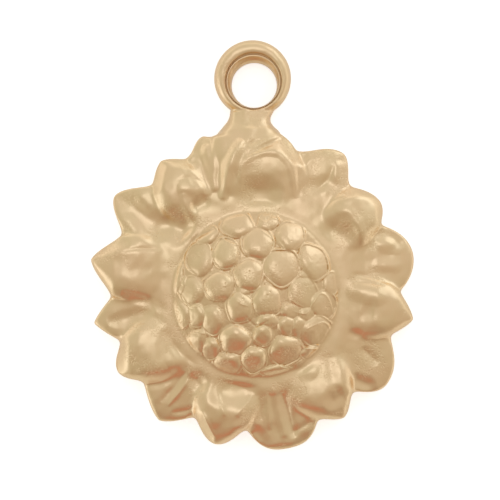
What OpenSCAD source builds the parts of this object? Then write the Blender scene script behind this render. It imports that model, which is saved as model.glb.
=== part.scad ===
// Flower charm: a sunflower cast in one piece with the eye that it hangs by.
// It lies on its back, face up: +Z is the face, +Y points to the eye, and Z = 0 is the
// flat rim of the back. The origin is the middle of the back's outline.
// Two whorls of petals, one behind the other, stand round a domed seed head.

/* [Flower] */
// Width of the flower across its widest petals
flower_w = 13.7; // [11:0.1:17]
// Height of the seed head's dome above the back, without its seeds
dome_h = 2.3; // [2.1:0.05:2.8]
// Radius of the seed head, in a flower of the nominal width
seed_head_r = 3.55; // [3.3:0.05:3.65]
// Height that a seed stands proud of the dome
seed_rise = 0.3; // [0.1:0.02:0.4]
// Height of the thin edge of the petals
petal_edge_h = 0.72; // [0.6:0.02:0.9]

/* [Eye] */
// Diameter of the hole for a jump ring
eye_hole_d = 1.9; // [1.6:0.05:2.1]
// Outer diameter of the eye
eye_d = 3.3; // [3.1:0.05:3.6]
// Thickness of the eye from back to face
eye_t = 1; // [0.9:0.05:1.2]
// Radius of the rounded lips of the hole
eye_lip = 0.25; // [0.15:0.05:0.3]

/* [Back] */
// Radius of the hollow in the back
hollow_r = 4.2; // [3:0.1:4.4]
// Depth of the hollow in its middle
hollow_depth = 0.9; // [0.4:0.1:1.1]

/* [Hidden] */

nominal_w = 13.7;
size = flower_w / nominal_w;
gold = [0.86, 0.70, 0.46];

// Petals counter-clockwise from the right, a back one and a front one in turn, as in the
// flower's own plan. Columns: the angle and radius of the tip, how full the tip is, how far
// the flanks are drawn in to the notches, the angle and radius of the notch after the petal,
// and for a back petal the angle at which it leaves the seed head.
TIP_ANGLE = 0;
TIP_R = 1;
FULL = 2;
DRAWN_IN = 3;
NOTCH_ANGLE = 4;
NOTCH_R = 5;
ROOT_ANGLE = 6;
PETALS = [
    [14, 6.87, 2.0, 1.1, 28, 6.02, 17],
    [36, 6.52, 2.0, 1.4, 48, 6.02],
    [58, 6.95, 2.0, 2.2, 74, 6.22, 54],
    [90, 6.95, 2.4, 1.0, 106, 6.84],
    [109, 6.97, 2.0, 2.8, 118, 6.38, 113],
    [126, 6.85, 1.5, 1.3, 134, 6.33],
    [146, 7.25, 1.7, 1.7, 157, 6.20, 147],
    [169, 7.13, 1.4, 1.6, 182, 6.15],
    [191, 7.00, 1.2, 1.2, 200, 6.15, 188],
    [210, 6.78, 2.0, 1.8, 219, 6.15],
    [233, 6.84, 1.4, 1.3, 244, 5.95, 233],
    [255, 6.70, 2.0, 1.6, 266, 5.88],
    [282, 6.80, 3.0, 1.3, 296, 6.05, 279],
    [305, 6.53, 1.6, 1.6, 314, 5.94],
    [325, 6.82, 2.2, 1.5, 342, 6.02, 330],
    [350, 6.78, 1.3, 1.2, 360, 6.12]
];

// Sections of a petal. The way runs from 0 at the seed head, past 1 at the notches, to 2 at
// the tip. Columns: the way, then the heights of the middle, the shoulder and the edge.
// A front petal is a cup with a raised lip, and a back petal a low ridge.
MIDDLE = 1;
SHOULDER = 2;
EDGE = 3;
FRONT_SECTIONS = [
    [0.00, 1.80, 1.80, 1.80],
    [0.12, 1.50, 1.74, 1.70],
    [0.25, 1.40, 1.76, 1.58],
    [0.45, 1.52, 1.82, 1.45],
    [0.65, 1.74, 1.78, 1.28],
    [0.85, 1.76, 1.60, 1.05],
    [1.00, 1.66, 1.42, 0.72],
    [1.35, 1.38, 1.15, 0.72],
    [1.70, 1.05, 0.92, 0.72],
    [2.00, 0.72, 0.72, 0.72]
];
BACK_SECTIONS = [
    [0.00, 1.80, 1.80, 1.80],
    [0.12, 1.48, 1.46, 1.45],
    [0.30, 1.34, 1.28, 1.18],
    [0.60, 1.30, 1.18, 0.98],
    [0.85, 1.24, 1.08, 0.86],
    [1.00, 1.18, 1.02, 0.72],
    [1.40, 1.02, 0.90, 0.72],
    [1.75, 0.86, 0.80, 0.72],
    [2.00, 0.72, 0.72, 0.72]
];

// Seeds: place from the middle of the flower, half length, half width, and the turn of the
// length. They are laid out by hand, large round the outside and small in the lower middle.
SEED_X = 0;
SEED_Y = 1;
SEED_A = 2;
SEED_B = 3;
SEED_TURN = 4;
SEEDS = [
    [-0.78, 3.05, 0.65, 0.45, 0],
    [0.08, 2.07, 0.68, 0.58, 90],
    [1.54, 2.35, 0.62, 0.56, 100],
    [1.06, 1.03, 0.76, 0.74, 0],
    [2.48, 1.17, 0.72, 0.54, 115],
    [-1.30, 1.50, 0.56, 0.55, 0],
    [-2.42, 1.36, 0.64, 0.48, 80],
    [-0.35, 0.70, 0.64, 0.62, 0],
    [-1.58, 0.28, 0.60, 0.58, 0],
    [-2.72, 0.00, 0.56, 0.46, 100],
    [-0.60, -0.62, 0.58, 0.55, 90],
    [0.50, -0.48, 0.60, 0.56, 90],
    [2.06, -0.06, 0.56, 0.52, 0],
    [2.89, -0.42, 0.52, 0.46, 90],
    [2.63, -1.62, 0.60, 0.57, 0],
    [-1.87, -1.10, 0.56, 0.44, 90],
    [-2.47, -0.86, 0.46, 0.34, 90],
    [-0.82, -2.08, 0.70, 0.62, 0],
    [0.38, -1.62, 0.60, 0.40, 90],
    [1.55, -1.48, 0.56, 0.42, 0],
    [0.92, -1.92, 0.42, 0.38, 90],
    [1.20, -2.47, 0.72, 0.60, 15],
    [-2.52, -2.00, 0.50, 0.42, 80],
    [-0.07, -2.85, 0.55, 0.50, 90],
    [-1.24, -2.97, 0.55, 0.46, 0],
    [-3.14, -0.96, 0.58, 0.38, 90],
    [2.34, -2.48, 0.50, 0.34, 35],
    [1.55, -0.66, 0.44, 0.40, 0],
    [2.12, -0.94, 0.40, 0.40, 0],
    [0.60, 2.98, 0.52, 0.36, 0],
    [-3.18, 0.66, 0.60, 0.34, 85],
    [0.96, -3.24, 0.56, 0.30, 5],
    [-1.88, 2.36, 0.52, 0.34, 35]
];

// Heights and shape of the casting
rim_h = 1.8;
seed_floor_h = 1.62;
rim_corner_r = 3.95;
edge_round = 0.12;
wall_h = 0.42;
shoulder_at = 0.55;
neck_h = 0.95;
neck_foot_run = 1.25;
eye_x = -0.14;
eye_y = 9.06;
eye_hole_x = -0.07;
eye_hole_y = 8.77;
lap = 0.05;

// The neck's two flanks: the side, how far the waist is from the eye's middle line, and how
// far it is below the eye's middle
SIDE = 0;
WAIST_X = 1;
WAIST_DROP = 2;
FLANKS = [
    [-1, 0.96, 1.56],
    [1, 0.74, 1.79]
];

// Fineness of the casting's mesh
front_columns = 14;
back_columns = 8;
seed_rings = 20;
petal_rings = 11;
tip_rings = 4;

petal_count = len(PETALS);
degenerate = 0.0005;

function mix(a, b, share) = a + (b - a) * share;
function polar(r, angle, z) = [r * cos(angle), r * sin(angle), z];
function smooth(x) = x * x * (3 - 2 * x);
function column(table, c) = [for (row = table) [row[0], row[c]]];

// A petal of the table by any whole number, with its angles in an unbroken run
function turn_of(i) = 360 * floor(i / petal_count);
function petal(i) = PETALS[i - petal_count * floor(i / petal_count)];
function tip_angle(i) = petal(i)[TIP_ANGLE] + turn_of(i);
function notch_angle(i) = petal(i)[NOTCH_ANGLE] + turn_of(i);
function is_back(i) = i % 2 == 0;
function root_angle(i) = petal(i)[ROOT_ANGLE] + turn_of(i);
function root_right(i) = is_back(i) ? root_angle(i) : root_angle(i - 1);
function root_left(i) = is_back(i) ? root_angle(i) : root_angle(i + 1);

// Radius of petal i's outline at an angle, from its tip to the notch on that side
function lobe(x, p) = pow(max(0, 1 - pow(x, p[FULL])), p[DRAWN_IN]);
function outline_r(i, angle) =
    let (
        left = angle > tip_angle(i),
        notch_a = left ? notch_angle(i) : notch_angle(i - 1),
        notch_r = left ? petal(i)[NOTCH_R] : petal(i - 1)[NOTCH_R],
        x = min(1, abs(angle - tip_angle(i)) / abs(notch_a - tip_angle(i)))
    )
    notch_r + (petal(i)[TIP_R] - notch_r) * lobe(x, petal(i));
function notch_line_r(i, angle) = mix(
    petal(i - 1)[NOTCH_R],
    petal(i)[NOTCH_R],
    (angle - notch_angle(i - 1)) / (notch_angle(i) - notch_angle(i - 1))
);

// Angle across petal i, at a share from its right side to its left, on the way to the notches
function across(i, way, share) =
    let (spread = pow(way, 1.3))
    mix(
        mix(root_right(i), notch_angle(i - 1), spread),
        mix(root_left(i), notch_angle(i), spread),
        share
    );

// Radius of the seed head's rim: straight chords between the roots of the back petals
function rim_r(i, share) =
    is_back(i) ? rim_corner_r
    : let (half = (root_left(i) - root_right(i)) / 2)
      rim_corner_r * cos(half) / cos(half * (2 * share - 1));

// Height of petal i: its section at the way, shaped across from the middle to the edge
function petal_h(i, way, share) =
    let (
        table = is_back(i) ? BACK_SECTIONS : FRONT_SECTIONS,
        side = abs(2 * share - 1),
        middle = lookup(way, column(table, MIDDLE)),
        shoulder = lookup(way, column(table, SHOULDER)),
        edge = lookup(way, column(table, EDGE))
    )
    petal_edge_h / 0.72 * (
        side < shoulder_at
        ? mix(middle, shoulder, smooth(side / shoulder_at))
        : mix(shoulder, edge, pow((side - shoulder_at) / (1 - shoulder_at), 2))
    );

function petal_point(i, way, share) =
    let (
        angle = across(i, min(way, 1), share),
        notch_r = notch_line_r(i, angle),
        outer_r = max(notch_r, outline_r(i, angle)) - edge_round,
        r = way <= 1
            ? mix(rim_r(i, share), notch_r - edge_round, way)
            : mix(notch_r - edge_round, outer_r, way - 1)
    )
    polar(r, angle, petal_h(i, way, share));

// The outline's own points, at the foot of the wall and at its round top
function wall_point(i, share, z) =
    let (angle = across(i, 1, share))
    polar(max(notch_line_r(i, angle), outline_r(i, angle)), angle, z);

// Height of the seed head: a dome that falls to a flat floor at the rim, and its seeds
function dome_at(r) =
    let (share = min(1, r / seed_head_r))
    seed_floor_h + (dome_h - seed_floor_h) * (1 - share * share);
function seed_at(seed, x, y) =
    let (
        dx = x - seed[SEED_X],
        dy = y - seed[SEED_Y],
        along = (dx * cos(seed[SEED_TURN]) + dy * sin(seed[SEED_TURN])) / seed[SEED_A],
        aside = (dy * cos(seed[SEED_TURN]) - dx * sin(seed[SEED_TURN])) / seed[SEED_B],
        inside = 1 - along * along - aside * aside
    )
    seed_rise * pow(max(0, inside), 1.4);
function seed_head_point(share, edge) =
    let (
        x = edge[0] * share,
        y = edge[1] * share,
        r = norm([x, y]),
        into_rim = max(0, (r - seed_head_r) / (norm(edge) - seed_head_r)),
        floor_h = dome_at(r) + (rim_h - seed_floor_h) * smooth(into_rim)
    )
    [x, y, share == 1 ? rim_h : floor_h + max([for (seed = SEEDS) seed_at(seed, x, y)])];

// Grids of points, one row after another, and the triangles between them
function shares(n) = [for (c = [0:n]) c / n];
function columns_of(i) = is_back(i) ? back_columns : front_columns;
function petal_ways() = [
    for (w = [0:petal_rings]) w / petal_rings,
    for (w = [1:tip_rings]) 1 + w / tip_rings
];
function petal_grid(i) = [
    for (way = petal_ways()) [for (share = shares(columns_of(i))) petal_point(i, way, share)]
];
function wall_grid(i) = [
    [for (share = shares(columns_of(i))) petal_point(i, 2, share)],
    [for (share = shares(columns_of(i))) wall_point(i, share, wall_h)],
    [for (share = shares(columns_of(i))) wall_point(i, share, 0)],
    [for (share = shares(columns_of(i))) [0, 0, 0]]
];
// The drop from a front petal's edge to the back petal beside it, on the back one's side
function drop_grid(i, share, other, other_share) = [
    for (w = [0:petal_rings])
        [petal_point(i, w / petal_rings, share), petal_point(other, w / petal_rings, other_share)]
];
function seed_grid(i) = [
    for (ring = [0:seed_rings])
        [for (share = shares(front_columns))
            seed_head_point(ring / seed_rings, petal_point(i, 0, share))]
];

function triangle_ok(t) =
    norm(t[0] - t[1]) > degenerate && norm(t[1] - t[2]) > degenerate && norm(t[2] - t[0]) > degenerate;
function triangles(grid) = [
    for (r = [0:len(grid) - 2], c = [0:len(grid[0]) - 2])
        for (t = [
            [grid[r][c], grid[r][c + 1], grid[r + 1][c]],
            [grid[r][c + 1], grid[r + 1][c + 1], grid[r + 1][c]]
        ])
            if (triangle_ok(t)) t
];

function casting_triangles() = [
    for (i = [0:petal_count - 1]) each triangles(petal_grid(i)),
    for (i = [0:petal_count - 1]) each triangles(wall_grid(i)),
    for (i = [0:2:petal_count - 1]) each triangles(drop_grid(i, 1, i + 1, 0)),
    for (i = [0:2:petal_count - 1]) each triangles(drop_grid(i - 1, 1, i, 0)),
    for (i = [1:2:petal_count - 1]) each triangles(seed_grid(i))
];

// Outline of the whole charm, from which its middle is found
outline = [
    for (i = [0:petal_count - 1], share = shares(columns_of(i))) wall_point(i, share, 0)
];
outline_x = [for (p = outline) p[0]];
outline_y = [for (p = outline) p[1]];
middle_x = (min(outline_x) + max(outline_x)) / 2;
middle_y = (min(outline_y) + eye_y + eye_d / 2 / size) / 2;

// Petals and seed head, down to the flat back
module flower() {
    found = casting_triangles();
    color(gold)
        polyhedron(
            points = [for (t = found) each t],
            faces = [for (k = [0:len(found) - 1]) [3 * k, 3 * k + 1, 3 * k + 2]]
        );
}

// A shallow round hollow, which saves metal behind the seed head
module hollow() {
    ball_r = (hollow_r * hollow_r + hollow_depth * hollow_depth) / (2 * hollow_depth);
    translate([0, 0, hollow_depth - ball_r]) sphere(r = ball_r, $fn = 128);
}

// The eye's round-edged disc
module eye_disc() {
    round_r = eye_t / 2;
    rotate_extrude($fn = 64) {
        square([eye_d / 2 - round_r, eye_t]);
        translate([eye_d / 2 - round_r, round_r]) intersection() {
            circle(r = round_r, $fn = 48);
            translate([0, -round_r]) square([round_r, eye_t]);
        }
    }
}

// The hole with its rounded lips, as the shape that is cut away
module eye_hole() {
    hole_r = eye_hole_d / 2;
    translate([0, 0, -1]) cylinder(r = hole_r, h = eye_t + 2, $fn = 64);
    for (face = [0, 1])
        translate([0, 0, face * eye_t]) mirror([0, 0, face]) lip_cut(hole_r);
}

module lip_cut(hole_r) {
    rotate_extrude($fn = 64) difference() {
        translate([hole_r - lap, -lap]) square([eye_lip + lap, eye_lip + lap]);
        translate([hole_r + eye_lip, eye_lip]) circle(r = eye_lip, $fn = 48);
    }
}

// The web between the top petal and the eye. Each flank is an arc that is tangent to the
// eye, and below its waist it runs out at 45 degrees to the petals.
function flank_r(f) =
    (pow(f[WAIST_X], 2) + pow(f[WAIST_DROP], 2) - pow(eye_d / 2, 2)) / (eye_d - 2 * f[WAIST_X]);
function flank_middle(f) = [f[SIDE] * (f[WAIST_X] + flank_r(f)), -f[WAIST_DROP]];
function flank_end(f) = flank_middle(f) + flank_r(f) * sqrt(0.5) * [-f[SIDE], -1];
function flank_foot(f) = flank_end(f) + neck_foot_run * [f[SIDE], -1];

module neck() {
    left = FLANKS[0];
    right = FLANKS[1];
    linear_extrude(height = neck_h) difference() {
        polygon([
            [0, 0],
            flank_middle(left),
            flank_end(left),
            flank_foot(left),
            flank_foot(right),
            flank_end(right),
            flank_middle(right)
        ]);
        for (f = FLANKS) translate(flank_middle(f)) circle(r = flank_r(f), $fn = 64);
    }
}

module flower_charm() {
    color(gold) translate([-middle_x * size, -middle_y * size, 0]) difference() {
        union() {
            scale([size, size, 1]) flower();
            translate([eye_x * size, eye_y * size, 0]) {
                neck();
                eye_disc();
            }
        }
        hollow();
        translate([eye_hole_x * size, eye_hole_y * size, 0]) eye_hole();
    }
}

flower_charm();
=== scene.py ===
import math
from collections import namedtuple

import bmesh
import bpy
import numpy as np
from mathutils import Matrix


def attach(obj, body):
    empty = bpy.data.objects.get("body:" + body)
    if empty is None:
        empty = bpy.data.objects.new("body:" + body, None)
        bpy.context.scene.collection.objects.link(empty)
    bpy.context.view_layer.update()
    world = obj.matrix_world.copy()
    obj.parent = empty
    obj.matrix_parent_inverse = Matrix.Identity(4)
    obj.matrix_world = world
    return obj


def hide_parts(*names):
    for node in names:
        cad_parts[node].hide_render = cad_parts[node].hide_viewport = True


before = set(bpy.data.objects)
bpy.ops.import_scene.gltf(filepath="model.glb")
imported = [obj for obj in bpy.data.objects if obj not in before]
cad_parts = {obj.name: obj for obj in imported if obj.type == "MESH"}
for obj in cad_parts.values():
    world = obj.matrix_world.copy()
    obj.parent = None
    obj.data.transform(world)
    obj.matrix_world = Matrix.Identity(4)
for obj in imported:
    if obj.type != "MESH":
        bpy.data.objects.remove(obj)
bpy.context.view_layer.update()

# The camera looks straight down on the charm's face, as the photograph does. Its frame is
# 21.25 mm wide at the petals' edges.
FRAME_WIDTH = 0.02125
CAMERA_DISTANCE = 0.2
CAMERA_AIM = (-0.000106, -0.000234, 0.0007)

camera_data = bpy.data.cameras.new("camera")
camera_data.sensor_width = 36
camera_data.lens = camera_data.sensor_width * CAMERA_DISTANCE / FRAME_WIDTH
camera_data.clip_start = 0.01
camera = bpy.data.objects.new("camera", camera_data)
camera.location = (CAMERA_AIM[0], CAMERA_AIM[1], CAMERA_AIM[2] + CAMERA_DISTANCE)
bpy.context.scene.collection.objects.link(camera)
bpy.context.scene.camera = camera


# Floor and light. The charm lies on a white table that is lit from below too, in a tent of
# soft light. The tent is brightest close to the camera, on the side of the eye, and the side
# towards the lowest petals is darker, with something reddish in it that the metal mirrors.
class Signal:
    """A value in a node tree, so that shader maths reads as plain sums."""

    def __init__(self, tree, socket=None):
        self.tree = tree
        self.socket = socket

    def node(self, kind, settings=None, inputs=None, output=0):
        """Adds a node with its settings, then the values or links of its sockets."""
        made = self.tree.nodes.new(kind)
        for name, value in (settings or {}).items():
            setattr(made, name, value)
        for name, value in (inputs or {}).items():
            if isinstance(value, Signal):
                self.tree.links.new(value.socket, made.inputs[name])
            else:
                made.inputs[name].default_value = value
        return Signal(self.tree, made.outputs[output])

    def maths(self, operation, first, second):
        return self.node("ShaderNodeMath", {"operation": operation}, {0: first, 1: second})

    def __add__(self, other):
        return self.maths("ADD", self, other)

    def __radd__(self, other):
        return self.maths("ADD", other, self)

    def __sub__(self, other):
        return self.maths("SUBTRACT", self, other)

    def __rsub__(self, other):
        return self.maths("SUBTRACT", other, self)

    def __mul__(self, other):
        return self.maths("MULTIPLY", self, other)

    def __rmul__(self, other):
        return self.maths("MULTIPLY", other, self)

    def step(self, low, high):
        """Rises softly from 0 where the value is low to 1 where it is high."""
        return self.node("ShaderNodeMapRange", {"interpolation_type": "SMOOTHSTEP"},
                         {"Value": self, "From Min": low, "From Max": high})

    def toward(self, polar, azimuth):
        """How far a direction points to a place in the tent, given by its angle from the
        zenith and its angle round it: 1 straight at it, 0 square to it."""
        polar, azimuth = math.radians(polar), math.radians(azimuth)
        place = (math.sin(polar) * math.cos(azimuth), math.sin(polar) * math.sin(azimuth),
                 math.cos(polar))
        return self.node("ShaderNodeVectorMath", {"operation": "DOT_PRODUCT"},
                         {0: self, 1: place}, output="Value")

    def blend(self, first, second):
        """Mixes two colours, with this value as the share of the second."""
        return self.node("ShaderNodeMix", {"data_type": "RGBA", "clamp_factor": True},
                         {"Factor": self, 6: first, 7: second}, output=2)


FOOT_SIDE = (0.50, 0.41, 0.315, 1)
EYE_SIDE = (0.755, 0.745, 0.71, 1)
LEFT_SIDE = (0.62, 0.63, 0.52, 1)
NEAR_TABLE = (1.12, 1.11, 1.10, 1)
LAMPS = [
    # angle from the zenith, angle round it, half angles of its core and of its soft edge,
    # strength, color
    (17, 100, 2, 18.5, 1, (1.28, 1.32, 1.42, 1)),
    (68, 48, 5, 25, 0.85, (1.42, 1.52, 1.66, 1)),
    (72, 200, 5, 23, 0.8, (1.40, 1.46, 1.56, 1)),
    (32, -25, 4, 34, 0.22, (0.86, 0.82, 0.74, 1)),
]
world = bpy.data.worlds.new("studio")
bpy.context.scene.world = world
world.use_nodes = True
direction = Signal(world.node_tree).node("ShaderNodeTexCoord", output="Generated")
tent = direction.toward(90, 90).step(-0.9, 0.8).blend(FOOT_SIDE, EYE_SIDE)
tent = (direction.toward(90, 180).step(0.1, 0.9) * 0.5).blend(tent, LEFT_SIDE)
low = (1 - direction.toward(0, 0)).step(0.58, 0.90)
away_from_foot = 0.35 + direction.toward(90, 90).step(-0.95, -0.45) * 0.65
tent = (low * away_from_foot).blend(tent, NEAR_TABLE)
for polar, azimuth, core, edge, strength, color in LAMPS:
    lamp = direction.toward(polar, azimuth).step(math.cos(math.radians(edge)),
                                                 math.cos(math.radians(core)))
    tent = (lamp * strength).blend(tent, color)
seen = Signal(world.node_tree).node("ShaderNodeLightPath", output="Is Camera Ray")
tent = seen.blend(tent, (1, 1, 1, 1))
world.node_tree.links.new(tent.socket, world.node_tree.nodes["Background"].inputs["Color"])
world.node_tree.nodes["Background"].inputs["Strength"].default_value = 1.0

# the floor lies a hair below the charm's flat back
FLOOR_SIZE = 1.2
FLOOR_GAP = 0.00001
FLOOR_WHITE = (0.86, 0.86, 0.86, 1)
FLOOR_LIGHT = (0.18, 0.18, 0.18, 1)
FLOOR_SEEN = (0.62, 0.62, 0.63, 1)
bpy.ops.object.select_all(action="DESELECT")
bpy.ops.mesh.primitive_plane_add(size=FLOOR_SIZE)
floor = bpy.context.object
floor.name = "floor"
floor.location.z = -FLOOR_GAP
paper = bpy.data.materials.new("paper")
paper.use_nodes = True
sheet = paper.node_tree.nodes["Principled BSDF"]
sheet.inputs["Base Color"].default_value = FLOOR_WHITE
sheet.inputs["Roughness"].default_value = 0.9
seen = Signal(paper.node_tree).node("ShaderNodeLightPath", output="Is Camera Ray")
glow = seen.blend(FLOOR_LIGHT, FLOOR_SEEN)
paper.node_tree.links.new(glow.socket, sheet.inputs["Emission Color"])
sheet.inputs["Emission Strength"].default_value = 1
floor.data.materials.append(paper)

# the reddish thing close by, past the lowest petals, that only the metal mirrors
CARD_WIDTH, CARD_HEIGHT = 25, 9
CARD_PLACE = (-0.0008, -0.017, 0.0105)
CARD_TILT = 58
CARD_MIDDLE = (0.56, 0.23, 0.16, 1)
CARD_EDGE = (0.40, 0.33, 0.26, 1)
bpy.ops.object.select_all(action="DESELECT")
bpy.ops.mesh.primitive_plane_add(size=0.001)
card = bpy.context.object
card.name = "red_card"
card.scale = (CARD_WIDTH, CARD_HEIGHT, 1)
card.location = CARD_PLACE
card.rotation_euler = (math.radians(CARD_TILT), 0, 0)
red = bpy.data.materials.new("red_paper")
red.use_nodes = True
sheet = red.node_tree.nodes["Principled BSDF"]
sheet.inputs["Base Color"].default_value = (0, 0, 0, 1)
place = Signal(red.node_tree).node("ShaderNodeTexCoord", output="Object")
outward = place.node("ShaderNodeVectorMath", {"operation": "LENGTH"}, {0: place}, output="Value")
glow = outward.step(0.0001, 0.0005).blend(CARD_MIDDLE, CARD_EDGE)
red.node_tree.links.new(glow.socket, sheet.inputs["Emission Color"])
sheet.inputs["Emission Strength"].default_value = 1
card.data.materials.append(red)
card.visible_camera = card.visible_diffuse = card.visible_shadow = False
bpy.context.scene.view_settings.view_transform = "Standard"


# Petals. On the real charm they were carved in the master that the mould was made from: eight
# cupped petals in front, eight plainer ones behind and between them, with thin steep edges.
# Everything up to the casting is modelled in millimetres round the middle of the flower.
Petal = namedtuple("Petal", "tip_angle tip_r full drawn_in notch_angle notch_r root_angle")
PETALS = [Petal(*row) for row in [
    # tip angle, tip radius, fullness, how far the flanks draw in, next notch's angle and
    # radius, and for a back petal the angle at which it leaves the seed head
    (14, 6.87, 2.0, 1.1, 28, 6.02, 17),
    (36, 6.52, 2.0, 1.4, 48, 6.02, None),
    (58, 6.95, 2.0, 2.2, 74, 6.22, 54),
    (90, 6.95, 2.4, 1.0, 106, 6.84, None),
    (109, 6.97, 2.0, 2.8, 118, 6.38, 113),
    (126, 6.85, 1.5, 1.3, 134, 6.33, None),
    (146, 7.25, 1.7, 1.7, 157, 6.20, 147),
    (169, 7.13, 1.4, 1.6, 182, 6.15, None),
    (191, 7.00, 1.2, 1.2, 200, 6.15, 188),
    (210, 6.78, 2.0, 1.8, 219, 6.15, None),
    (233, 6.84, 1.4, 1.3, 244, 5.95, 233),
    (255, 6.70, 2.0, 1.6, 266, 5.88, None),
    (282, 6.80, 3.0, 1.3, 296, 6.05, 279),
    (305, 6.53, 1.6, 1.6, 314, 5.94, None),
    (325, 6.82, 2.2, 1.5, 342, 6.02, 330),
    (350, 6.78, 1.3, 1.2, 360, 6.12, None),
]]
# radius at which the petals start, the height where the fall at their edges ends, and the
# level below the back that everything reaches down to before the back is cut flat
PETAL_ROOT = 3.5
FOOT = 0.4
BELOW_BACK = -0.4
COLUMNS = 24
ROWS = 36
EDGE_STEPS = 40
ROOT_STEPS = 12
BACK_FALL = 0.45
# a back petal is this much wider below the front ones than at its notches
BACK_WIDER = 1.1
# the power by which a front petal widens from its root to its notches, and the powers that
# gather the rows at the tip and the columns at the edges
ROOT_SPREAD = 1.3
TIP_GATHER, EDGE_GATHER = 1.4, 1.3
# height along the middle of a petal, from the seed head (0) to the tip (1)
FRONT_LINE = [(0, 1.52), (0.2, 1.60), (0.4, 1.70), (0.56, 1.75), (0.70, 1.69), (0.84, 1.52),
              (0.94, 1.34), (1, 1.22)]
BACK_LINE = [(0, 1.60), (0.15, 1.57), (0.35, 1.44), (0.6, 1.32), (0.8, 1.22), (0.93, 1.10),
             (1, 0.98)]
# section across a petal: share of the half width, and share of the fall to the foot
SECTION = [(0, 0), (0.4, 0.01), (0.6, 0.04), (0.75, 0.09), (0.88, 0.16), (1, 0.25)]


def between(table, x):
    """Reads a table of points at x, along a smooth line that never overshoots them."""
    x = min(max(x, table[0][0]), table[-1][0])
    k = next(k for k in range(len(table) - 1) if x <= table[k + 1][0])
    slopes = [(y1 - y0) / (x1 - x0) for (x0, y0), (x1, y1) in zip(table, table[1:])]
    ends = [slopes[0]] + [2 * a * b / (a + b) if a * b > 0 else 0
                          for a, b in zip(slopes, slopes[1:])] + [slopes[-1]]
    (x0, y0), (x1, y1) = table[k], table[k + 1]
    t, width = (x - x0) / (x1 - x0), x1 - x0
    return (y0 * (1 + 2 * t) * (1 - t) ** 2 + y1 * t * t * (3 - 2 * t)
            + ends[k] * width * t * (1 - t) ** 2 - ends[k + 1] * width * t * t * (1 - t))


def begin(primitive, name, **size):
    """Adds a primitive under a name, alone selected, and opens it for editing."""
    bpy.ops.object.select_all(action="DESELECT")
    primitive(**size)
    piece = bpy.context.object
    piece.name = piece.data.name = name
    bpy.ops.object.mode_set(mode="EDIT")
    return piece


def pick(chosen):
    """Selects the points of the open piece for which chosen(place) is true."""
    mesh = bmesh.from_edit_mesh(bpy.context.edit_object.data)
    for point in mesh.verts:
        point.select = chosen(point.co)
    mesh.select_flush_mode()
    bmesh.update_edit_mesh(bpy.context.edit_object.data)


def lattice(name, columns, rows):
    """Makes a sheet from a grid. Each column gives its share across and its share of the
    fall, and each row its place along, its half widths, its height and its fall."""
    piece = begin(bpy.ops.mesh.primitive_grid_add, name, size=2,
                  x_subdivisions=len(columns) - 1, y_subdivisions=len(rows) - 1)
    for k, (share, fall) in enumerate(columns):
        place = 2 * k / (len(columns) - 1) - 1
        pick(lambda p: abs(p.x - place) < 0.001 and p.z > -0.0001)
        bpy.ops.transform.translate(value=(share - place, 0, -1 - fall))
    for k, (along, left, right, height, fall) in enumerate(rows):
        place = 2 * k / (len(rows) - 1) - 1
        pick(lambda p: abs(p.y - place) < 0.001)
        bpy.ops.transform.resize(value=((left + right) / 2, 1, fall),
                                 center_override=(0, place, -1))
        bpy.ops.transform.translate(value=((right - left) / 2, along - place, height + 1))
    return piece


def close_piece():
    """Turns the open piece's faces outwards, and ends its editing."""
    bpy.ops.mesh.select_all(action="SELECT")
    bpy.ops.mesh.normals_make_consistent(inside=False)
    bpy.ops.object.mode_set(mode="OBJECT")


def thicken(level):
    """Makes the open sheet a solid that reaches down to a level, and ends its editing."""
    bpy.ops.mesh.select_all(action="SELECT")
    bpy.ops.mesh.extrude_region_move()
    bpy.ops.transform.resize(value=(1, 1, 0), center_override=(0, 0, level))
    close_piece()


def flank(petal, notch_angle, notch_r):
    """A petal's edge from its tip to a notch: places along it and out from its middle, and
    the angle between the two."""
    span = abs((notch_angle - petal.tip_angle + 180) % 360 - 180)
    outer = []
    for k in range(EDGE_STEPS + 1):
        x = k / EDGE_STEPS
        r = notch_r + (petal.tip_r - notch_r) * (1 - x ** petal.full) ** petal.drawn_in
        a = math.radians(span * x)
        outer.append((r * math.cos(a), r * math.sin(a)))
    return outer, span


def petal_rows(number):
    """Rows of a petal's sheet from root to tip. A back petal keeps its width below the front
    ones, and a front one narrows from its notches to the place where its neighbour starts."""
    petal = PETALS[number]
    before, after = PETALS[number - 1], PETALS[(number + 1) % len(PETALS)]
    back = petal.root_angle is not None
    sides = []
    # a petal's row holds the notch that follows it, so the notch before it is its neighbour's
    for owner, beside in ((petal, after), (before, before)):
        outer, span = flank(petal, owner.notch_angle, owner.notch_r)
        notch_along, notch_out = outer[-1]
        line = []
        if back:
            below = notch_out * BACK_WIDER
            line = [(PETAL_ROOT, below), (notch_along - 0.5, below)]
        else:
            root_span = abs((beside.root_angle - petal.tip_angle + 180) % 360 - 180)
            for k in range(ROOT_STEPS):
                w = k / ROOT_STEPS
                a = math.radians(root_span + (span - root_span) * w ** ROOT_SPREAD)
                r = PETAL_ROOT + (owner.notch_r - PETAL_ROOT) * w
                line.append((r * math.cos(a), r * math.sin(a)))
        line += reversed(outer)
        # only points that lie further along than all before them
        highest = line[0][0]
        rising = [line[0]]
        for along, out in line[1:]:
            if along > highest + 1e-4:
                highest = along
                rising.append((along, out))
        sides.append(rising)
    tip = min(side[-1][0] for side in sides)
    start = max(side[0][0] for side in sides)
    rows = []
    for k in range(ROWS + 1):
        share = 1 - (1 - k / ROWS) ** TIP_GATHER
        along = start + (tip - start) * share
        height = between(BACK_LINE if back else FRONT_LINE, share)
        left, right = [max(0.02, between(side, along)) for side in sides]
        rows.append((along, left, right, height, height - FOOT))
    return rows + [rows[-1][:3] + (FOOT, 0)]


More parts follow.
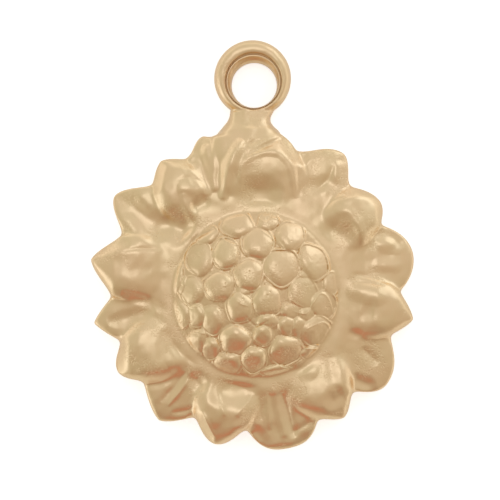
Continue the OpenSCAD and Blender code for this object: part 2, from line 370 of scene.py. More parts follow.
def petal_columns(fall):
    """Columns of a petal's sheet, closest together at its edges."""
    columns = []
    for k in range(COLUMNS + 1):
        place = 2 * k / COLUMNS - 1
        share = math.copysign(1 - (1 - abs(place)) ** EDGE_GATHER, place)
        columns.append((share, fall * between(SECTION, abs(share))))
    return [(-1, 1)] + columns + [(1, 1)]


petals = []
for number, petal in enumerate(PETALS):
    fall = 1 if petal.root_angle is None else BACK_FALL
    sheet = lattice(f"petal_{number}", petal_columns(fall), petal_rows(number))
    bpy.ops.mesh.select_all(action="SELECT")
    bpy.ops.mesh.subdivide(number_cuts=1)
    bpy.ops.transform.rotate(value=math.radians(90 - petal.tip_angle), orient_axis="Z",
                             center_override=(0, 0, 0))
    thicken(BELOW_BACK)
    petals.append(sheet)


# Seed head. A smooth rim holds a low dome, covered with oval seeds that stand up from it
# like beads and touch each other.
SEED_MIDDLE = (0, -0.12)
FIELD_R = 3.53
DOME_TOP = 2.27
DOME_EDGE = 1.65
SEEDS = [
    # middle across and down, half length and half width in the photograph's frame, turn of
    # the length, how far it stands up (mm), and the same for the thin collar round it
    (237, 225, 15.5, 12.5, 0, 0.13, 0.03),
    (257.8, 243.0, 15.5, 15.5, 0, 0.19, 0.03),
    (290.5, 236.5, 14, 13.5, 90, 0.16, 0.02),
    (281.5, 267.6, 17.5, 18, 0, 0.18, 0.04),
    (313.5, 262.5, 18, 13, 118, 0.13, 0.04),
    (226.0, 254.0, 15, 13, 90, 0.18, 0.02),
    (199.5, 259.0, 15.5, 12.5, 85, 0.09, 0.02),
    (248.2, 275.0, 15.5, 15, 90, 0.21, 0.02),
    (218.5, 286.5, 14.5, 14, 0, 0.20, 0.02),
    (191.6, 291.0, 14, 11.5, 100, 0.13, 0.01),
    (240.0, 307.5, 15, 13, 100, 0.19, 0.01),
    (267.0, 301.5, 16, 14.5, 90, 0.20, 0.01),
    (303.0, 293.0, 16, 14, 100, 0.11, 0.02),
    (323.5, 305.0, 13.5, 12.5, 90, 0.07, 0.02),
    (317.5, 332.5, 15.5, 15, 0, 0.09, 0.03),
    (212.5, 320.5, 14, 11, 100, 0.15, 0.01),
    (196.5, 315.5, 12, 9, 95, 0.11, 0.01),
    (235.5, 341.0, 15.5, 15, 0, 0.22, 0.01),
    (263.0, 335.0, 11, 10, 90, 0.16, 0.01),
    (268.0, 321.0, 11, 8, 0, 0.15, 0),
    (286.5, 326.0, 10, 9, 90, 0.14, 0.01),
    (299.0, 327.0, 10, 8, 80, 0.12, 0.01),
    (290.5, 311.0, 10, 8, 0, 0.10, 0),
    (308.0, 314.5, 9, 7, 0, 0.06, 0),
    (286.0, 351.0, 16, 14, 15, 0.16, 0.02),
    (197.0, 343.5, 13.5, 9, 75, 0.09, 0.01),
    (210.5, 349.0, 10.5, 9.5, 90, 0.12, 0.02),
    (253.5, 360.0, 13, 12.5, 90, 0.17, 0.02),
    (227.5, 364.5, 13.5, 12, 0, 0.13, 0.01),
    (180.0, 316.0, 13, 9, 95, 0.035, 0.02),
    (311.0, 352.0, 11, 6, 22, 0.07, 0.03),
    (268.0, 222.0, 10, 8.5, 20, 0.09, 0.02),
    (177.0, 276.0, 14, 6, 85, 0.035, 0.02),
    (276.0, 371.0, 14, 5.5, 5, 0.06, 0.02),
    (208.0, 236.0, 11, 7, 35, 0.07, 0.02),
    (183.0, 286.0, 9, 3.5, 75, 0.06, 0.02),
    (303.0, 366.0, 10, 6, 30, 0.04, 0.01),
    (331.0, 284.0, 11, 7, 95, 0.04, 0.02),
    (243.0, 291.0, 6, 5, 0, 0.05, 0),
    (304.0, 275.0, 6, 4, 0, 0.04, 0),
]
PITS = [
    # small pits of the casting: place across and down, and radius (mm)
    (249.8, 271.4, 0.045), (253.2, 273.6, 0.035), (254.6, 279.4, 0.04), (245.4, 276.8, 0.03),
    (270.2, 292.0, 0.06), (267.6, 295.2, 0.05), (271.6, 296.4, 0.035), (264.6, 284.5, 0.05),
    (276.4, 266.0, 0.045), (281.0, 272.6, 0.03), (274.0, 273.5, 0.03), (226.0, 283.6, 0.05),
    (229.4, 286.3, 0.04), (225.4, 288.2, 0.035), (243.4, 299.0, 0.06), (240.8, 302.4, 0.035),
    (314.3, 314.3, 0.06), (231.6, 254.6, 0.04), (256.0, 251.6, 0.03), (182.0, 286.0, 0.05),
    (291.6, 241.4, 0.04), (245.8, 302.8, 0.035),
]


def lathe(name, middle, rings, segments):
    """Stands rings on each other: each ring gives its radius, its middle and its height."""
    radius, x, y, z = rings[0]
    piece = begin(bpy.ops.mesh.primitive_circle_add, name, vertices=segments, radius=radius,
                  location=(0, 0, 0), fill_type="NOTHING")
    bpy.ops.mesh.select_all(action="SELECT")
    bpy.ops.transform.translate(value=(middle[0] + x, middle[1] + y, z))
    for (r0, x0, y0, z0), (r1, x1, y1, z1) in zip(rings, rings[1:]):
        bpy.ops.mesh.extrude_region_move(
            TRANSFORM_OT_translate={"value": (x1 - x0, y1 - y0, z1 - z0)})
        bpy.ops.transform.resize(value=(r1 / r0, r1 / r0, 1),
                                 center_override=(middle[0] + x1, middle[1] + y1, z1))
    return piece


# the smooth rim, lathed from rings, with a recess for the seeds
seed_head = lathe("seed_head", SEED_MIDDLE, [
    (4.60, 0, 0, BELOW_BACK), (4.60, 0, 0, 1.24), (4.42, 0, 0, 1.42), (4.24, 0, 0, 1.53),
    (4.08, 0, 0, 1.58), (3.92, 0, 0, 1.60), (3.80, 0, 0, 1.60), (3.58, 0, 0, 1.60),
    (3.50, 0, 0, 1.50), (2.00, 0, 0, 1.50)], 96)
bpy.ops.mesh.edge_face_add()
bpy.ops.mesh.select_all(action="DESELECT")
pick(lambda p: p.z < BELOW_BACK + 0.01)
bpy.ops.mesh.edge_face_add()
close_piece()


def spot(across, down):
    """A place on the flower, from its place in the photograph's frame of 500 by 500."""
    return (across - 256) * 0.0425, (292 - down) * 0.0425


def points_of(piece):
    """The places of a mesh's points, as rows of three."""
    numbers = np.empty(len(piece.data.vertices) * 3)
    piece.data.vertices.foreach_get("co", numbers)
    return numbers.reshape(-1, 3)


def move_points(piece, places):
    """Moves a mesh's points in code, where no operator gives the shape."""
    piece.data.vertices.foreach_set("co", places.ravel())
    piece.data.update()


def ease(share):
    """Turns an even rise from 0 to 1 into one that starts and ends softly."""
    return share * share * (3 - 2 * share)


CURVE_STEPS = 6


def curve(line):
    """A smooth line through the spots."""
    points = [spot(*place) for place in line]
    ends = [points[0]] + points + [points[-1]]
    smooth = [points[0]]
    for a, b, c, d in zip(ends, ends[1:], ends[2:], ends[3:]):
        for k in range(1, CURVE_STEPS + 1):
            t = k / CURVE_STEPS
            smooth.append(tuple(
                0.5 * (2 * q + (r - p) * t + (2 * p - 5 * q + 4 * r - s) * t * t
                       + (3 * q - p - 3 * r + s) * t ** 3) for p, q, r, s in zip(a, b, c, d)))
    return smooth


def carve(piece, strokes):
    """Raises or lowers a piece's face along smooth lines. Each stroke gives its spots, how
    much the face rises, how far that reaches and its form. A soft one is rounded and keeps
    its width, a ridge is rounded and tapers to both ends, and a crease is sharp and tapers."""
    places = points_of(piece)
    for line, lift, reach, form in strokes:
        points = curve(line)
        low, high = np.min(points, axis=0) - reach, np.max(points, axis=0) + reach
        near = np.all((places[:, :2] > low) & (places[:, :2] < high), axis=1).nonzero()[0]
        across, along = places[near, 0], places[near, 1]
        whole = sum(math.dist(a, b) for a, b in zip(points, points[1:]))
        far, placed, passed = np.full(len(near), 1e9), 0 * across, 0
        for (x0, y0), (x1, y1) in zip(points, points[1:]):
            run_x, run_y = x1 - x0, y1 - y0
            length = math.hypot(run_x, run_y)
            share = ((across - x0) * run_x + (along - y0) * run_y) / length ** 2
            share = np.clip(share, 0, 1)
            gap = np.hypot(across - x0 - share * run_x, along - y0 - share * run_y)
            placed = np.where(gap < far, passed + share * length, placed)
            far = np.minimum(far, gap)
            passed += length
        ends = 1
        if form != "soft":
            ends = np.sqrt(np.clip(1 - (2 * placed / whole - 1) ** 2, 0, 1))
        rise = np.clip(1 - far / (reach * (0.4 + 0.6 * ends)), 0, 1)
        rise = rise ** 2 if form == "crease" else ease(rise)
        places[near, 2] += lift * ends * rise
    move_points(piece, places)


def dome_height(outward):
    """Height of the dome under the seeds, by the distance from its middle."""
    return DOME_TOP - (DOME_TOP - DOME_EDGE) * np.minimum(outward / FIELD_R, 1) ** 2.2


GOLDEN_ANGLE = 2.4


def add_waves(surface, across, along, count, height, shortest, longer, phase):
    """Adds the gentle unevenness of a cast surface: waves of many lengths and headings, each
    a golden angle on from the one before."""
    for number in range(count):
        heading, reach = number * GOLDEN_ANGLE, shortest + longer * number
        onward = across * math.cos(heading) + along * math.sin(heading)
        surface += height * np.sin(onward * 2 * math.pi / reach + number ** phase)


# The seeds are one fine sheet whose points are moved in code: each seed is a low cap that
# falls away from the middle of the dome, and where two meet there is a crease.
FIELD_CELLS = 264
FIELD_HALF = 3.70
# the photograph's 0.0425 mm, and 7% more so that the seeds touch
SEED_UNIT = 0.0455
# bottom of the gaps between seeds, against the dome
GAP_LEVEL = -0.03
# a seed's cap: the share of its stand that it has, where it meets the dome, and how much it
# leans away from the middle
CAP_SHARE, CAP_EDGE = 0.82, 0.93
SEED_LEAN = 0.075
# its collar's place and half width, as shares of the seed
COLLAR_PLACE, COLLAR_HALF = 0.98, 0.1
# depth of a pit, as a share of its radius
PIT_DEPTH = 0.7
# heights of the sheet over the rim and at its foot, and the distances from the middle where
# it starts to run level and where its edge dips
SHEET_RIM = 1.604
SHEET_FOOT = 1.05
LEVEL_FROM, LEVEL_RUN = 3.36, 0.26
DIP_FROM, DIP_RUN, DIP_DEPTH = 3.64, 0.04, 0.12
seeds = begin(bpy.ops.mesh.primitive_grid_add, "seeds", size=2 * FIELD_HALF,
              x_subdivisions=FIELD_CELLS, y_subdivisions=FIELD_CELLS,
              location=(SEED_MIDDLE[0], SEED_MIDDLE[1], 0))
pick(lambda p: math.hypot(p.x, p.y) > FIELD_HALF - 0.01)
bpy.ops.mesh.delete(type="VERT")
bpy.ops.object.mode_set(mode="OBJECT")
places = points_of(seeds)
across, along = places[:, 0] + SEED_MIDDLE[0], places[:, 1] + SEED_MIDDLE[1]
outward = np.hypot(places[:, 0], places[:, 1])
relief = np.full(len(places), GAP_LEVEL)
for number, (middle_x, middle_y, length, width, turn, stand, collar) in enumerate(SEEDS):
    x, y = spot(middle_x, middle_y)
    turn = math.radians(turn)
    u = ((across - x) * math.cos(turn) + (along - y) * math.sin(turn)) / (length * SEED_UNIT)
    v = ((along - y) * math.cos(turn) - (across - x) * math.sin(turn)) / (width * SEED_UNIT)
    # how far out a point is, 1 at the seed's slightly uneven outline
    around = np.arctan2(v, u)
    bulge = 1 + 0.035 * np.sin(3 * around + number) + 0.03 * np.sin(5 * around - 2 * number)
    far = np.hypot(u, v) * bulge
    out_x, out_y = x - SEED_MIDDLE[0], y - SEED_MIDDLE[1]
    lean = (across - x) * (1.15 * out_x + 0.15) + (along - y) * out_y * (1 if y > 0 else 1.6)
    cap = (CAP_SHARE * stand * (1 - (far / CAP_EDGE) ** 3)
           - SEED_LEAN * np.clip(1.2 - far, 0, 1) * lean)
    # the collar is higher on some sides than on others
    partly = 0.6 + 0.4 * np.sin(around * 2 + number * 1.7)
    ring = ((1.5 * collar * partly + 0.03) * (1 - ((far - COLLAR_PLACE) / COLLAR_HALF) ** 2)
            - 0.035)
    relief = np.maximum(relief, np.maximum(cap, ring))
add_waves(relief, across, along, count=14, height=0.0006, shortest=0.13, longer=0.02, phase=1)
for pit_x, pit_y, pit_r in PITS:
    x, y = spot(pit_x, pit_y)
    near = np.clip(1 - np.hypot(across - x, along - y) / pit_r, 0, 1)
    relief -= PIT_DEPTH * pit_r * near * near * (3 - 2 * near)
# the sheet runs out level over the rim, and its edge dips into it
level = ease(np.clip((outward - LEVEL_FROM) / LEVEL_RUN, 0, 1))
places[:, 2] = (dome_height(outward) + relief) * (1 - level) + SHEET_RIM * level
places[:, 2] -= np.clip((outward - DIP_FROM) / DIP_RUN, 0, 1) * DIP_DEPTH
move_points(seeds, places)
# grooves at the edge of the field, and thin threads of metal between the seeds
carve(seeds, [
    ([(216, 226), (192, 240), (177, 266)], -0.07, 0.20, "crease"),
    ([(338, 286), (341, 310), (334, 336)], -0.08, 0.18, "crease"),
    ([(183, 334), (191, 346), (201, 359)], -0.07, 0.14, "crease"),
    ([(292, 308), (306, 311), (313, 300), (320, 291), (328, 296), (335, 318)],
     0.03, 0.09, "crease"),
    ([(306, 327), (313, 323), (324, 320), (330, 327), (328, 337)], 0.03, 0.09, "crease"),
    ([(299, 336), (304, 345), (322, 346)], 0.03, 0.09, "crease"),
    ([(322, 312), (329, 318), (331, 331)], -0.02, 0.09, "crease"),
    ([(270, 357), (288, 366), (310, 359), (324, 346)], 0.03, 0.09, "crease"),
    ([(256, 213), (265, 220), (274, 216), (286, 221)], 0.03, 0.09, "crease"),
    ([(261, 228), (270, 234), (279, 243)], 0.03, 0.09, "crease"),
    ([(266, 215), (270, 226), (280, 230)], -0.02, 0.09, "crease"),
    ([(219, 234), (231, 241), (241, 243)], 0.03, 0.09, "crease"),
    ([(213, 243), (213, 257), (211, 269)], 0.03, 0.09, "crease"),
    ([(233, 291), (240, 300), (250, 304)], 0.03, 0.09, "crease"),
    ([(288, 285), (292, 298), (304, 305)], 0.03, 0.09, "crease"),
    ([(188, 329), (201, 330), (213, 334), (220, 345)], 0.03, 0.10, "crease"),
    ([(181, 291), (190, 304), (202, 302)], 0.03, 0.09, "crease"),
    ([(245, 313), (256, 323), (268, 318)], -0.03, 0.10, "crease"),
    ([(205, 362), (222, 376), (244, 380)], 0.03, 0.10, "crease"),
])
bpy.ops.object.mode_set(mode="EDIT")
thicken(SHEET_FOOT)


# Eye and neck. The eye is a thick ring, cast with the flower: round outside, with a lip that
# slopes to its hole, and a short neck widens from it into the top petal.
EYE_MIDDLE = (-0.14, 9.06)
EYE_RINGS = [
    # radius, middle across and along from the eye's, height
    (1.56, 0, 0, 0.03),
    (1.61, 0, 0, 0.09),
    (1.638, 0, 0, 0.24),
    (1.638, 0, 0, 0.42),
    (1.618, 0, 0, 0.58),
    (1.560, 0, 0, 0.73),
    (1.495, 0, 0, 0.81),
    (1.415, 0.01, -0.02, 0.87),
    (1.350, 0.01, -0.05, 0.895),
    (1.290, 0.02, -0.08, 0.90),
    (1.235, 0.03, -0.11, 0.885),
    (1.200, 0.03, -0.12, 0.84),
    (1.190, 0.03, -0.12, 0.70),
    (1.190, 0.03, -0.12, 0.03),
    (1.56, 0, 0, 0.03),
]
LIP_RINGS = [
    (1.30, 0.03, -0.13, 0.10),
    (1.30, 0.03, -0.13, 0.70),
    (1.165, 0.03, -0.13, 0.71),
    (1.140, 0.035, -0.14, 0.80),
    (1.110, 0.04, -0.16, 0.80),
    (1.095, 0.04, -0.17, 0.73),
    (1.030, 0.05, -0.22, 0.68),
    (1.015, 0.055, -0.235, 0.65),
    (0.975, 0.065, -0.27, 0.50),
    (0.960, 0.07, -0.29, 0.38),
    (0.960, 0.07, -0.29, 0.10),
    (1.30, 0.03, -0.13, 0.10),
]
NECK_ROWS = [
    # place along, half width to the left and right, height
    (5.6, 2.1, 2.0, 1.30),
    (5.9, 2.0, 1.75, 1.36),
    (6.2, 1.85, 1.55, 1.42),
    (6.45, 1.80, 1.25, 1.43),
    (6.65, 1.68, 1.08, 1.38),
    (6.85, 1.52, 0.96, 1.30),
    (7.0, 1.40, 0.78, 1.22),
    (7.2, 1.23, 0.63, 1.11),
    (7.4, 1.13, 0.62, 1.02),
    (7.6, 1.10, 0.72, 0.95),
    (7.66, 1.10, 0.76, 0.94),
]
NECK_SECTION = [(0, 0), (0.3, 0.01), (0.55, 0.03),
                (0.75, 0.09), (0.88, 0.22), (0.96, 0.42), (1, 0.6)]
NECK_HALF_COLUMNS = 14
NECK_FOOT = 0.1


def closed_ring(name, rings, segments):
    """Lathes a ring round the eye's middle, whose last section meets its first."""
    piece = lathe(name, EYE_MIDDLE, rings, segments)
    bpy.ops.mesh.select_all(action="SELECT")
    bpy.ops.mesh.remove_doubles(threshold=0.001)
    close_piece()
    return piece


eye = closed_ring("eye", EYE_RINGS, 96)
lip = closed_ring("lip", LIP_RINGS, 128)
neck_columns = []
for k in range(-NECK_HALF_COLUMNS, NECK_HALF_COLUMNS + 1):
    share = k / NECK_HALF_COLUMNS
    neck_columns.append((share, between(NECK_SECTION, abs(share))))
neck = lattice("neck", [(-1, 1)] + neck_columns + [(1, 1)],
               [(along, left, right, height, height - NECK_FOOT)
                for along, left, right, height in NECK_ROWS])
thicken(BELOW_BACK)


# Casting. All of it is one piece of metal, run together where its forms meet, with softly
# rounded edges from the mould and the polishing. Its back is flat, with a shallow hollow.
VOXEL = 0.035
# how far from the line where two petals meet their metal runs together
JOINT_REACH = 0.34
RIM_HEIGHT = 1.60
BODY_TRIANGLES = 104000
SEED_TRIANGLES = 90000
# the flower's middle in the shared frame
FLOWER_MIDDLE = (0.145, -1.998)
HOLLOW_R = 4.2
HOLLOW_DEPTH = 0.9
# the band of the rim that lies under the edge of the seeds' sheet: its middle, half its
# width, and how far in from its sides it is fully level
LEVEL_BAND_R, LEVEL_BAND_HALF, LEVEL_BAND_RUN = 3.66, 0.26, 0.17


def activate(piece):
    """Makes a piece the only selected one, and the active one."""
    bpy.ops.object.select_all(action="DESELECT")
    piece.select_set(True)
    bpy.context.view_layer.objects.active = piece


activate(seed_head)
for piece in petals + [eye, neck]:
    piece.select_set(True)
bpy.ops.object.join()
charm = bpy.context.object
charm.name = charm.data.name = "charm"
bpy.ops.object.transform_apply(location=True, rotation=True, scale=True)


def triangles(piece):
    """Counts a mesh's faces as triangles."""
    return sum(len(face.vertices) - 2 for face in piece.data.polygons)


def finish_with(kind, **settings):
    """Adds a modifier to the active piece and applies it."""
    modifier = bpy.context.object.modifiers.new(kind.lower(), kind)
    for key, value in settings.items():
        setattr(modifier, key, value)
    bpy.ops.object.modifier_apply(modifier=modifier.name)


finish_with("REMESH", mode="VOXEL", voxel_size=VOXEL)
finish_with("SMOOTH", factor=0.5, iterations=3)
# the petals run softly into the rim, and the neck into the top petal
bpy.ops.object.mode_set(mode="EDIT")
pick(lambda p: p.z > 0.85 and 3.7 < math.hypot(p.x, p.y) < 6.15
     or p.z > 0.5 and abs(p.x) < 1.5 and 6.0 < p.y < 7.3)
bpy.ops.mesh.vertices_smooth(factor=0.5, repeat=18)
# the petals' edges are rounded
pick(lambda p: p.z > 0.75 and 5.9 < math.hypot(p.x, p.y) < 7.3 and (p.y < 6 or abs(p.x) > 1.6))
bpy.ops.mesh.vertices_smooth(factor=0.5, repeat=8)
bpy.ops.object.mode_set(mode="OBJECT")


def hollowness(piece):
    """How hollow the surface is at each point: 0 where it is flat, 1 in a deep slot."""
    edges = np.empty(len(piece.data.edges) * 2, dtype=np.int32)
    piece.data.edges.foreach_get("vertices", edges)
    first, second = edges.reshape(-1, 2).T
    places, normals = points_of(piece), np.empty(len(piece.data.vertices) * 3)
    piece.data.vertex_normals.foreach_get("vector", normals)
    normals = normals.reshape(-1, 3)
    run = places[second] - places[first]
    run /= np.maximum(np.linalg.norm(run, axis=1), 1e-9)[:, None]
    total = len(places)
    count = np.bincount(first, minlength=total) + np.bincount(second, minlength=total)
    hollow = (np.bincount(first, (run * normals[first]).sum(axis=1), total)
              - np.bincount(second, (run * normals[second]).sum(axis=1), total)) / count
    for turn in range(2):
        hollow = 0.5 * hollow + 0.5 * (np.bincount(first, hollow[second], total)
                                       + np.bincount(second, hollow[first], total)) / count
    return hollow


def open_creases(piece, sharpness, rounds):
    """Rounds the creases that are sharper than metal flows into, round by round."""
    for turn in range(rounds):
        sharp = np.flatnonzero((hollowness(piece) > sharpness) & (points_of(piece)[:, 2] > 0.5))
        piece.vertex_groups.new(name="creases").add(sharp.tolist(), 1, "REPLACE")
        finish_with("SMOOTH", factor=0.5, iterations=14, vertex_group="creases")
        piece.vertex_groups.clear()


# where two petals meet, the metal of one runs softly into the other
places = points_of(charm)
joint = np.full(len(places), 1e9)
for number, petal in enumerate(PETALS):
    back = petal if petal.root_angle is not None else PETALS[(number + 1) % len(PETALS)]
    root, notch = math.radians(back.root_angle), math.radians(petal.notch_angle)
    x0, y0 = PETAL_ROOT * math.cos(root), PETAL_ROOT * math.sin(root)
    x1, y1 = petal.notch_r * math.cos(notch), petal.notch_r * math.sin(notch)
    share = ((places[:, 0] - x0) * (x1 - x0) + (places[:, 1] - y0) * (y1 - y0))
    share = np.clip(share / ((x1 - x0) ** 2 + (y1 - y0) ** 2), 0, 1)
    joint = np.minimum(joint, np.hypot(places[:, 0] - x0 - share * (x1 - x0),
                                       places[:, 1] - y0 - share * (y1 - y0)))
meeting = np.flatnonzero((joint < JOINT_REACH) & (places[:, 2] > 0.7))
charm.vertex_groups.new(name="joints").add(meeting.tolist(), 1, "REPLACE")
finish_with("SMOOTH", factor=0.5, iterations=60, vertex_group="joints")
charm.vertex_groups.clear()
open_creases(charm, sharpness=0.025, rounds=3)

# What was carved into the petals: lines of spots, how much the surface rises (mm), how far
# that reaches (mm), and the form of the stroke. No operator draws such strokes without a
# window, so they move the points in code.
CARVING = [
    # right, above the middle
    ([(378, 255), (400, 256)], -0.03, 0.26, "crease"),
    ([(378, 266), (396, 267)], 0.05, 0.36, "soft"),
    ([(381, 246), (389, 245)], 0.05, 0.34, "soft"),
    ([(352, 275), (366, 277), (390, 284)], -0.08, 0.30, "crease"),
    ([(374, 234), (388, 235), (399, 243)], -0.07, 0.34, "soft"),
    # upper right
    ([(335, 231), (345, 236)], -0.15, 0.74, "soft"),
    ([(334, 211), (349, 213), (358, 225), (364, 246)], 0.065, 0.36, "ridge"),
    ([(382, 203), (383, 214)], -0.10, 0.42, "soft"),
    ([(350, 191), (366, 191), (376, 197)], -0.10, 0.40, "soft"),
    ([(320, 215), (331, 203), (346, 197)], -0.03, 0.30, "crease"),
    # back petal beside the top one, on the right
    ([(313, 187), (330, 185)], -0.09, 0.54, "soft"),
    ([(334, 166), (327, 180), (315, 193)], -0.05, 0.22, "crease"),
    ([(338, 166), (335, 180), (325, 192)], 0.035, 0.28, "soft"),
    ([(345, 162), (347, 188)], -0.08, 0.50, "soft"),
    ([(308, 155), (318, 151)], -0.06, 0.32, "soft"),
    # top petal
    ([(256, 196), (264, 196)], -0.20, 0.98, "soft"),
    ([(252, 199), (280, 199)], 0.04, 0.42, "soft"),
    ([(241, 184), (241, 170), (247, 160), (256, 154), (267, 152), (279, 154),
      (288, 162), (293, 175), (296, 199)], 0.07, 0.30, "ridge"),
    ([(242, 140), (233, 158), (227, 178), (223, 200)], 0.18, 0.44, "ridge"),
    ([(211, 190), (226, 192)], 0.07, 0.85, "soft"),
    ([(298, 166), (299, 198)], -0.05, 0.32, "crease"),
    ([(243, 146), (254, 143), (268, 138)], -0.05, 0.18, "crease"),
    ([(246, 156), (260, 150), (280, 139)], -0.13, 0.26, "crease"),
    ([(285, 140), (300, 158)], -0.16, 0.46, "soft"),
    ([(241, 126), (258, 127), (274, 126)], -0.014, 0.16, "crease"),
    ([(250, 137), (251, 131)], 0.04, 0.32, "soft"),
    ([(246, 109), (245, 121)], 0.04, 0.20, "soft"),
    # back petal beside the top one, on the left
    ([(206, 145), (211, 168), (216, 192)], 0.17, 0.42, "ridge"),
    ([(202, 141), (196, 152)], -0.08, 0.34, "soft"),
    # upper left
    ([(174, 226), (182, 230)], -0.27, 0.96, "soft"),
    ([(183, 194), (189, 211), (198, 228)], 0.08, 0.34, "ridge"),
    ([(189, 157), (198, 173), (209, 196)], 0.10, 0.44, "ridge"),
    ([(197, 207), (203, 203)], -0.12, 0.40, "soft"),
    ([(178, 189), (205, 191)], 0.075, 0.44, "ridge"),
    ([(178, 181), (192, 178), (203, 184)], -0.04, 0.22, "crease"),
    ([(176, 161), (192, 163)], -0.10, 0.40, "soft"),
    ([(160, 168), (155, 188)], -0.10, 0.36, "soft"),
    # the wide back petal on the left
    ([(122, 200), (142, 214), (156, 226)], -0.15, 0.85, "soft"),
    ([(142, 200), (152, 210)], 0.06, 0.42, "soft"),
    ([(128, 222), (144, 240)], 0.05, 0.44, "soft"),
    # left
    ([(122, 252), (140, 249), (160, 250)], -0.035, 0.18, "crease"),
    ([(100, 252), (124, 243)], -0.09, 0.38, "soft"),
    ([(122, 293), (144, 301), (168, 310)], -0.07, 0.34, "ridge"),
    ([(108, 323), (132, 317), (155, 309)], -0.085, 0.46, "ridge"),
    ([(106, 260), (152, 272)], -0.03, 0.66, "ridge"),
    # lower left
    ([(119, 346), (117, 366)], -0.19, 0.50, "soft"),
    ([(163, 330), (172, 343), (184, 358)], -0.11, 0.42, "crease"),
    ([(184, 355), (198, 364)], -0.07, 0.26, "crease"),
    ([(174, 324), (184, 337), (193, 350)], 0.05, 0.24, "soft"),
    ([(140, 383), (158, 381), (174, 376)], -0.06, 0.44, "soft"),
    ([(168, 366), (186, 358)], 0.035, 0.60, "ridge"),
    ([(189, 379), (179, 393), (168, 406)], 0.07, 0.24, "crease"),
    ([(186, 372), (174, 388), (161, 402)], -0.08, 0.34, "crease"),
    ([(198, 380), (201, 384)], -0.12, 0.50, "soft"),
    ([(172, 413), (185, 411), (198, 406)], -0.055, 0.34, "crease"),
    # bottom
    ([(196, 420), (206, 438)], -0.12, 0.46, "soft"),
    ([(202, 410), (208, 424), (215, 437)], 0.07, 0.20, "crease"),
    ([(224, 392), (244, 391)], -0.16, 0.84, "soft"),
    ([(216, 384), (220, 400), (225, 416)], 0.04, 0.24, "crease"),
    ([(216, 441), (234, 435), (250, 428)], 0.08, 0.62, "soft"),
    ([(254, 393), (246, 404), (236, 416)], 0.04, 0.28, "crease"),
    ([(282, 392), (288, 414), (294, 438)], -0.15, 0.36, "crease"),
    ([(275, 392), (279, 414), (284, 434)], 0.03, 0.26, "soft"),
    ([(267, 394), (270, 430)], 0.05, 0.28, "crease"),
    ([(259, 398), (262, 420)], -0.04, 0.26, "crease"),
    ([(290, 434), (301, 428), (313, 420)], -0.06, 0.36, "crease"),
    ([(256, 445), (272, 448), (290, 445)], 0.08, 0.66, "soft"),
    ([(256, 432), (263, 442)], -0.06, 0.42, "soft"),
    # lower right
    ([(336, 350), (342, 370), (342, 392)], 0.05, 0.50, "ridge"),
    ([(327, 354), (332, 373), (336, 390)], -0.05, 0.44, "ridge"),
    ([(334, 400), (339, 396)], -0.12, 0.55, "soft"),
    ([(298, 366), (318, 371)], 0.07, 0.64, "ridge"),
    ([(361, 348), (370, 356), (378, 364)], -0.10, 0.46, "crease"),
    ([(358, 381), (367, 384)], -0.10, 0.44, "soft"),
    # right
    ([(354, 291), (376, 296)], 0.09, 0.55, "soft"),
    ([(360, 313), (373, 315)], -0.035, 0.54, "ridge"),
    ([(346, 334), (363, 334)], -0.045, 0.30, "ridge"),
    ([(352, 281), (384, 286)], -0.05, 0.22, "crease"),
]
carve(charm, CARVING)
open_creases(charm, sharpness=0.055, rounds=2)
# the petals and the rim are uneven too, with longer waves than the seeds
places = points_of(charm)
uneven = np.zeros(len(places))
add_waves(uneven, places[:, 0], places[:, 1], count=12, height=0.0016, shortest=0.36,
          longer=0.06, phase=2)
places[:, 2] += uneven * (places[:, 2] > 0.7)
move_points(charm, places)
finish_with("SMOOTH", factor=0.5, iterations=3)

# the rim is level where the sheet of seeds runs out over it
places = points_of(charm)
outward = np.hypot(places[:, 0] - SEED_MIDDLE[0], places[:, 1] - SEED_MIDDLE[1])
level = (LEVEL_BAND_HALF - abs(outward - LEVEL_BAND_R)) / LEVEL_BAND_RUN
level = ease(np.clip(level, 0, 1)) * (places[:, 2] > 1.3)
places[:, 2] += (RIM_HEIGHT - places[:, 2]) * level
move_points(charm, places)
bpy.ops.object.mode_set(mode="EDIT")
pick(lambda p: p.z > 1.3 and 3.75 < math.dist(p.xy, SEED_MIDDLE) < 4.25)
bpy.ops.mesh.vertices_smooth(factor=0.5, repeat=16)
bpy.ops.mesh.select_all(action="SELECT")
# the flat back
bpy.ops.mesh.bisect(plane_co=(0, 0, 0), plane_no=(0, 0, 1), use_fill=True, clear_inner=True)
bpy.ops.object.mode_set(mode="OBJECT")
finish_with("DECIMATE", ratio=BODY_TRIANGLES / triangles(charm))

# the hollow in the back is the cap of a ball
ball_r = (HOLLOW_R ** 2 + HOLLOW_DEPTH ** 2) / (2 * HOLLOW_DEPTH)
bpy.ops.object.select_all(action="DESELECT")
bpy.ops.mesh.primitive_uv_sphere_add(segments=96, ring_count=96, radius=ball_r,
                                     location=(0, 0, HOLLOW_DEPTH - ball_r))
ball = bpy.context.object
activate(charm)
finish_with("BOOLEAN", operation="DIFFERENCE", object=ball, solver="EXACT")
bpy.data.objects.remove(ball)

# the seeds and the eye's lip join the casting, and the seeds' edge runs softly into the rim
activate(seeds)
bpy.ops.object.transform_apply(location=True, rotation=True, scale=True)
finish_with("DECIMATE", ratio=SEED_TRIANGLES / triangles(seeds))
activate(charm)
for piece in (seeds, lip):
    finish_with("BOOLEAN", operation="UNION", object=piece, solver="EXACT")
    bpy.data.objects.remove(piece)

bpy.ops.object.mode_set(mode="EDIT")
pick(lambda p: p.z > 1.3 and 3.42 < math.dist(p.xy, SEED_MIDDLE) < 3.88)
bpy.ops.mesh.vertices_smooth(factor=0.5, repeat=12)
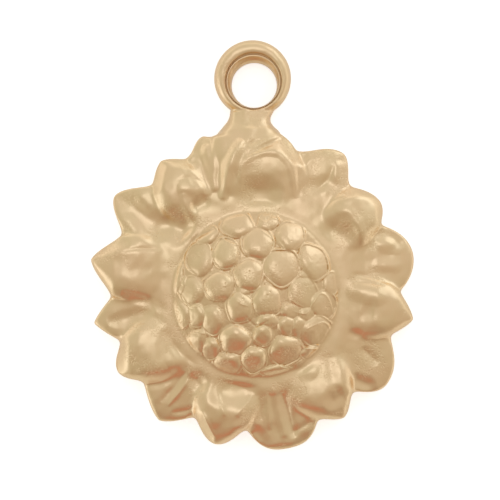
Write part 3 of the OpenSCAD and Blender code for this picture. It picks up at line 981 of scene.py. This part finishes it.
# from millimetres round the flower's middle to metres in the shared frame
bpy.ops.mesh.select_all(action="SELECT")
bpy.ops.transform.translate(value=(FLOWER_MIDDLE[0], FLOWER_MIDDLE[1], 0))
bpy.ops.transform.resize(value=(0.001, 0.001, 0.001), center_override=(0, 0, 0))
bpy.ops.object.mode_set(mode="OBJECT")
bpy.ops.object.shade_smooth_by_angle(angle=math.radians(50))
bpy.ops.object.mode_set(mode="EDIT")
pick(lambda p: p.z < 0.000001)
bpy.ops.mesh.mark_sharp()
bpy.ops.object.mode_set(mode="OBJECT")

# Painted shade: the gold is darker where the surface is hollow, in creases and corners, where
# shade falls.
hollow = hollowness(charm)
crease_shade = charm.data.attributes.new("crease_shade", "FLOAT", "POINT")
crease_shade.data.foreach_set("value", np.clip(hollow, 0, 1).astype(np.float32))

# Painted shade too: the gold is darker where the surface lies low between the seeds.
places = points_of(charm) * 1000 - np.array((FLOWER_MIDDLE[0], FLOWER_MIDDLE[1], 0))
outward = np.hypot(places[:, 0] - SEED_MIDDLE[0], places[:, 1] - SEED_MIDDLE[1])
gap_shade_mask = (np.clip((0.04 + dome_height(outward) - places[:, 2]) / 0.06, 0, 1)
                 * np.clip((3.55 - outward) / 0.15, 0, 1) * (places[:, 2] > 1.2))
gap_shade = charm.data.attributes.new("gap_shade", "FLOAT", "POINT")
gap_shade.data.foreach_set("value", gap_shade_mask.astype(np.float32))

# pale gold with soft clouds of tone and polish, darker in the creases and between the seeds
# as painted shade, with a faint unevenness and patches of tiny pits
WARM_GOLD = (0.87, 0.64, 0.39, 1)
PALE_GOLD = (0.84, 0.64, 0.38, 1)
# the deep gold of the painted shade in the creases and corners
CREASE_SHADE_GOLD = (0.60, 0.40, 0.20, 1)
# the gold of the painted shade in the low gaps between the seeds
GAP_SHADE_GOLD = (0.68, 0.46, 0.25, 1)
BUMP_DISTANCE = 0.000013
gold = bpy.data.materials.new("gold")
gold.use_nodes = True
shader = gold.node_tree.nodes["Principled BSDF"]
place = Signal(gold.node_tree).node("ShaderNodeTexCoord", output="Object")


def noise(scale, detail):
    return place.node("ShaderNodeTexNoise",
                      inputs={"Vector": place, "Scale": scale, "Detail": detail})


def attribute(name):
    return place.node("ShaderNodeAttribute", {"attribute_name": name}, output="Fac")


cloud, grain = noise(700, 3), noise(4200, 2)
hollow, gap = attribute("crease_shade"), attribute("gap_shade")
color = cloud.step(0.3, 0.7).blend(WARM_GOLD, PALE_GOLD)
# painted shade: the creases and corners darken towards a deep gold
color = (hollow.step(0.04, 0.20) * 0.65).blend(color, CREASE_SHADE_GOLD)
# painted shade in the low gaps between the seeds
color = (gap * 0.36).blend(color, GAP_SHADE_GOLD)
gold.node_tree.links.new(color.socket, shader.inputs["Base Color"])
rough = 0.25 + cloud * 0.04 + grain * 0.05 + hollow.step(0.03, 0.2) * 0.12
gold.node_tree.links.new(rough.socket, shader.inputs["Roughness"])
pits = noise(13000, 1).step(0.53, 0.66) * noise(900, 1).step(0.50, 0.62)
bump = place.node("ShaderNodeBump", inputs={"Height": noise(1500, 2) - pits * 0.55,
                                            "Strength": 1, "Distance": BUMP_DISTANCE},
                  output="Normal")
gold.node_tree.links.new(bump.socket, shader.inputs["Normal"])
shader.inputs["Metallic"].default_value = 1
charm.data.materials.clear()
charm.data.materials.append(gold)
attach(charm, "root")
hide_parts("flower_charm")
